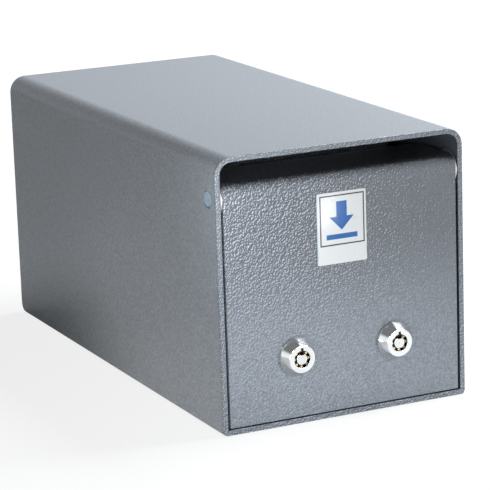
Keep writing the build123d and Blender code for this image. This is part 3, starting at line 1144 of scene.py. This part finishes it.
@dataclass(frozen=True)
class TubularLock:
    """One seven-pin cam lock, sizes in millimetres. Depths are measured behind the door's face."""

    side: Side
    spacing: float = 60.0
    height: float = 38.0
    door_front: float = -150.8
    fine_edge: float = 0.1
    head_front: float = -7.0
    head_front_radius: float = 7.6
    head_base_radius: float = 10.7
    head_rim: float = 1.8
    head_edge: float = 0.5
    rim_edge: float = 0.3
    keyway_radius: float = 4.8
    keyway_edge: float = 0.25
    lip_back: float = -6.0
    lip_edge: float = 0.15
    notch_width: float = 1.5
    notch_radius: float = 6.3
    notch_back: float = -4.8
    bore_radius: float = 5.95
    barrel_radius: float = 9.5
    barrel_flat: float = 8.0
    barrel_length: float = 16.0
    flats_front: float = 0.02
    thread_start: float = 3.2
    thread_stop: float = 15.4
    thread_root: float = 9.0
    thread_pitch: float = 1.0
    stop_back: float = 17.1
    stop_inner_radius: float = 6.5
    stop_outer_radius: float = 9.0
    lug_start: float = 51.0
    lug_sweep: float = 168.0
    lug_steps: int = 40
    lug_overlap: float = 0.5
    pin_hole_radius: float = 0.82
    pin_depth: float = 10.0
    plug_front: float = -4.5
    plug_back: float = 3.0
    plug_radius: float = 5.9
    plug_edge: float = 0.12
    plug_steps: int = 72
    post_front: float = -6.7
    post_radius: float = 3.2
    post_edge: float = 0.4
    dimple_radius: float = 0.55
    dimple_depth: float = 0.5
    groove_width: float = 2.4
    groove_radius: float = 2.2
    tail_radius: float = 2.75
    tail_back: float = 19.2
    tail_flat: float = 2.1
    stud_radius: float = 2.5
    stud_root: float = 2.15
    stud_pitch: float = 0.8
    stud_start: float = 19.7
    stud_stop: float = 24.7
    stud_back: float = 25.1
    stack_radius: float = 4.15
    stack_count: int = 7
    stack_angle: float = 45.0
    key_pin: Ring = Ring(0.0, 0.8, (0.0, 0.3, 0.1, 0.0))
    key_pin_front: float = -5.9
    key_pin_back: float = 1.2
    key_pin_hole: float = 0.85
    key_pin_arc: int = 5
    key_pin_steps: int = 28
    hole_sides: int = 24
    spring_start: float = 7.05
    spring_stop: float = 12.05
    spring_radius: float = 0.6
    spring_wire: float = 0.14
    spring_turns: int = 7
    spring_steps: int = 140
    wire_sides: int = 8
    mounting_nut: Nut = Nut(24.0, 4.2, 8.2, 9.52)
    cam_nut: Nut = Nut(8.0, 20.1, 24.1, 2.52)
    cam_edge: float = 0.2
    washer: Ring = Ring(9.52, 12.8, (0.2, 0.35, 0.2, 0.2))
    washer_front: float = 3.0
    washer_back: float = 4.2

    def build(self, model: Model) -> None:
        """Build every piece of the lock and dress the nodes that stay.

        Args:
            model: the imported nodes.
        """
        name = self.side.word
        at = (self.side.value * self.spacing / 2, self.door_front, self.height)
        for part, make, slot, finish in (
            ("lock_body", self._body, Slot.CHROME, CHROME),
            ("lock_plug", self._plug, Slot.CHROME, PLUG_CHROME),
            ("key_pins", self._key_pins, Slot.BRASS, GLINT_AND_SHADE_BRASS),
            ("driver_springs", self._springs, Slot.SPRING, SPRING_STEEL),
            ("mounting_nut", self.mounting_nut.build, Slot.ZINC, ZINC),
            ("cam_nut", self.cam_nut.build, Slot.ZINC, ZINC),
            ("lock_washer", self._washer, Slot.ZINC, ZINC),
        ):
            model.place(make(f"{name}_{part}_fine"), f"{name}_{part}", slot, finish, at)
        model.dress(BRASS, f"{name}_driver_bushing", f"{name}_driver_pins")
        model.dress(PLAIN_STEEL, f"{name}_retaining_pin")
        cams = (f"{name}_stop_washer", f"{name}_cam", f"{name}_cam_washer")
        model.dress(ZINC, *cams, edge=self.cam_edge)

    def _stacks(self) -> list[Triple]:
        """Places of the pin stacks round the axis, the first one step on from the notch."""
        turns = [math.radians(90 + self.stack_angle * (number + 1)) for number in range(self.stack_count)]
        ways = [(math.cos(turn), 0.0, math.sin(turn)) for turn in turns]
        return [tuple(self.stack_radius * part for part in way) for way in ways]

    def _body(self, name: str) -> bpy.types.Object:
        """Conical head, threaded barrel with two flats, bore, key notch and the stop's lug.

        Args:
            name: the piece's name.

        Returns:
            The piece.
        """
        screw = (self.barrel_radius, self.thread_root, self.thread_pitch)
        corners = [
            (self.keyway_radius, self.head_front, self.keyway_edge),
            (self.head_front_radius, self.head_front, self.head_edge),
            (self.head_base_radius, -self.head_rim, self.rim_edge),
            (self.head_base_radius, 0.0, self.fine_edge),
            (self.barrel_radius, 0.0, 0.0),
            *thread(self.thread_start, self.thread_stop, *screw),
            (self.thread_root, self.barrel_length, 0.0),
            (self.bore_radius, self.barrel_length, 0.0),
            (self.bore_radius, self.lip_back, 0.0),
            (self.keyway_radius, self.lip_back, self.lip_edge),
        ]
        body = publish(name, lathe(rounded(corners)))
        half = self.notch_width / 2
        carve(body, block((-half, self.head_front - PAST, 0), (half, self.notch_back, self.notch_radius)))
        flatten(body, self.barrel_flat, self.flats_front, self.stop_back + PAST, 2 * self.barrel_radius)
        start, stop = self.bore_radius - 2 * PAST, self.barrel_radius + PAST
        pin_hole = rod(self.pin_hole_radius, start, stop, sides=self.hole_sides)
        bmesh.ops.rotate(pin_hole, verts=pin_hole.verts, matrix=Matrix.Rotation(math.radians(90), 3, "X"))
        bmesh.ops.translate(pin_hole, verts=pin_hole.verts, vec=(0, self.pin_depth * MM, 0))
        carve(body, pin_hole)
        carve(body, self._lug(), "UNION")
        return body

    def _lug(self) -> bmesh.types.BMesh:
        """Part of a ring behind the barrel that stops the plug's turn.

        Returns:
            The shape.
        """
        shape = bmesh.new()
        width = self.stop_outer_radius - self.stop_inner_radius
        depth = self.stop_back - self.barrel_length + self.lug_overlap
        middle = (self.stop_inner_radius + width / 2, self.stop_back - depth / 2, 0.0)
        corners = bmesh.ops.create_circle(shape, cap_ends=False, radius=math.sqrt(0.5), segments=4)["verts"]
        bmesh.ops.rotate(shape, verts=corners, matrix=Matrix.Rotation(math.radians(45), 3, "Z"))
        bmesh.ops.scale(shape, verts=corners, vec=(width * MM, depth * MM, 1.0))
        bmesh.ops.translate(shape, verts=corners, vec=Vector(middle) * MM)
        start = Matrix.Rotation(math.radians(-self.lug_start), 3, "Y")
        bmesh.ops.rotate(shape, verts=corners, cent=(0, 0, 0), matrix=start)
        sweep(shape, list(corners) + list(shape.edges), -math.radians(self.lug_sweep), self.lug_steps)
        return shape

    def _plug(self, name: str) -> bpy.types.Object:
        """Turning plug: flange with the pin holes, grooved post, flatted tail and threaded stud.

        Args:
            name: the piece's name.

        Returns:
            The piece.
        """
        corners = [
            (0.0, self.post_front + self.dimple_depth, 0.0),
            (self.dimple_radius, self.post_front, self.plug_edge),
            (self.post_radius, self.post_front, self.post_edge),
            (self.post_radius, self.plug_front, self.fine_edge),
            (self.plug_radius, self.plug_front, self.plug_edge),
            (self.plug_radius, self.plug_back, self.plug_edge),
            (self.tail_radius, self.plug_back, 0.0),
            (self.tail_radius, self.tail_back, self.fine_edge),
            (self.stud_radius, self.tail_back, 0.0),
            *thread(self.stud_start, self.stud_stop, self.stud_radius, self.stud_root, self.stud_pitch),
            (self.stud_root, self.stud_back, self.fine_edge),
            (0.0, self.stud_back, 0.0),
        ]
        plug = publish(name, lathe(rounded(corners), self.plug_steps))
        half, reach = self.groove_width / 2, self.plug_radius
        carve(plug, block((-half, self.head_front, self.groove_radius), (half, self.plug_front, reach)))
        holes = rod(self.key_pin_hole, self.plug_front - PAST, self.plug_back + PAST, sides=self.hole_sides)
        spread(holes, self._stacks())
        carve(plug, holes)
        flatten(plug, self.tail_flat, self.barrel_length, self.stud_back + PAST, reach)
        return plug

    def _key_pins(self, name: str) -> bpy.types.Object:
        """Seven brass pins with round tips, which the key's teeth press.

        Args:
            name: the piece's name.

        Returns:
            The piece.
        """
        length = (self.key_pin_front, self.key_pin_back)
        pins = self.key_pin.turned(*length, self.key_pin_arc, self.key_pin_steps)
        spread(pins, self._stacks())
        return publish(name, pins)

    def _springs(self, name: str) -> bpy.types.Object:
        """Seven coil springs behind the drivers.

        Args:
            name: the piece's name.

        Returns:
            The piece.
        """
        shape = bmesh.new()
        wire, radius = self.spring_wire * MM, self.spring_radius * MM
        at = Matrix.Translation((radius, self.spring_start * MM + wire, 0))
        circle = {"cap_ends": False, "radius": wire, "segments": self.wire_sides, "matrix": at}
        ring = list(bmesh.ops.create_circle(shape, **circle)["verts"]) + list(shape.edges)
        climb = ((self.spring_stop - self.spring_start) * MM - 2 * wire) / self.spring_steps
        sweep(shape, ring, math.tau * self.spring_turns, self.spring_steps, climb)
        spread(shape, self._stacks())
        return publish(name, shape)

    def _washer(self, name: str) -> bpy.types.Object:
        """Flat washer with stamped round edges."""
        return publish(name, self.washer.turned(self.washer_front, self.washer_back))


@dataclass(frozen=True)
class Hinge:
    """Pivot pin, washer, block and set screw in one of the door's upper corners, sizes in millimetres."""

    side: Side
    pin: Ring = Ring(0.0, 4.75, (0.0, 1.3, 1.3, 0.0))
    washer: Ring = Ring(4.85, 10.3, (0.15, 0.5, 0.5, 0.15))
    screw_radius: float = 2.0
    screw_root: float = 1.7
    screw_pitch: float = 0.7
    screw_edge: float = 0.1
    screw_steps: int = 48
    point_radius: float = 1.3
    thread_start: float = 0.6
    thread_stop: float = 0.3
    key_radius: float = 1.1
    key_depth: float = 2.2
    block_edge: float = 0.4

    def build(self, model: Model) -> None:
        """Build the turned pieces and dress the block.

        Args:
            model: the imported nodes.
        """
        for part, make, slot, finish, turn in (
            ("pivot_pin", self._pin, Slot.ZINC, ZINC, -90.0),
            ("pivot_washer", self._washer, Slot.ZINC, WASHER_STEEL, -90.0),
            ("set_screw", self._screw, Slot.BLACK, BLACK_STEEL, 0.0),
        ):
            node = f"{self.side.word}_{part}"
            low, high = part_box(node)
            piece = make(f"{node}_fine", (high - low) / 2 / MM)
            model.place(piece, node, slot, finish, tuple((low + high) / 2 / MM), turn)
        model.dress(PLAIN_STEEL, f"{self.side.word}_hinge_block", edge=self.block_edge)

    def _pin(self, name: str, half: Vector) -> bpy.types.Object:
        """Pivot pin with rounded ends, as long as its node."""
        return publish(name, self.pin.turned(-half.x, half.x))

    def _washer(self, name: str, half: Vector) -> bpy.types.Object:
        """Washer between the door and the side wall, as thick as its node."""
        return publish(name, self.washer.turned(-half.x, half.x))

    def _screw(self, name: str, half: Vector) -> bpy.types.Object:
        """Set screw with its hexagon socket and cone point.

        Args:
            name: the piece's name.
            half: half of its node's size in millimetres.

        Returns:
            The piece.
        """
        end = half.y
        ends = (self.thread_start - end, end - self.thread_stop)
        corners = [
            (0.0, -end, 0.0),
            (self.point_radius, -end, self.screw_edge),
            *thread(*ends, self.screw_radius, self.screw_root, self.screw_pitch),
            (self.screw_root, end, self.screw_edge),
            (0.0, end, 0.0),
        ]
        screw = publish(name, lathe(rounded(corners), self.screw_steps))
        carve(screw, rod(self.key_radius, end - self.key_depth, end + PAST, sides=6))
        return screw


@dataclass(frozen=True)
class LabelPlate:
    """Thin plate with round corners that carries the print, sizes in millimetres."""

    width: float = 30.0
    height: float = 39.6
    thickness: float = 0.5
    corner: float = 0.8
    corner_segments: int = 6
    edge: float = 0.12
    edge_segments: int = 2
    least_angle: float = 50.0

    def build(self, model: Model) -> None:
        """Build the plate and lay it over its node.

        Args:
            model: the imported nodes.
        """
        low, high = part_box("label_plate")
        half_width, half_depth, half_height = self.width / 2, self.thickness / 2, self.height / 2
        shape = block((-half_width, -half_depth, -half_height), (half_width, half_depth, half_height))
        long = half_depth * MM
        upright = [edge for edge in shape.edges if abs(edge.verts[0].co.y - edge.verts[1].co.y) > long]
        soften(shape, upright, self.corner, self.corner_segments)
        least = math.radians(self.least_angle)
        steep = [edge for edge in shape.edges if edge.is_manifold and edge.calc_face_angle() > least]
        soften(shape, steep, self.edge, self.edge_segments)
        plate = publish("label_plate_fine", shape)
        model.place(plate, "label_plate", Slot.LABEL, LABEL_PRINT, tuple((low + high) / 2 / MM))


@dataclass(frozen=True)
class Housing:
    """Bent shell, floor and back, strike channel and baffle."""

    edge: float = 0.3

    def build(self, model: Model) -> None:
        """Dress the sheet parts."""
        model.dress(HOUSING_PAINT, "housing_shell", "floor_back_panel")
        model.dress(INNER_PAINT, "ceiling_baffle", "strike_channel", edge=self.edge)


@dataclass(frozen=True)
class Door:
    """Bent door with its label, hinges and locks."""

    label: LabelPlate = LabelPlate()

    def build(self, model: Model) -> None:
        """Dress the panel and build what it carries.

        Args:
            model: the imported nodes.
        """
        model.dress(DOOR_PAINT, "door_panel")
        self.label.build(model)
        for side in Side:
            Hinge(side).build(model)
            TubularLock(side).build(model)


def main() -> None:
    """Build every class in order and report each piece."""
    logging.basicConfig(level=logging.INFO, format="%(name)s: %(message)s")
    bpy.context.scene.view_settings.view_transform = "Standard"
    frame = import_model()
    model = Model(frame["nodes"])
    Housing().build(model)
    Door().build(model)
    Studio().build()


if __name__ == "__main__":
    main()
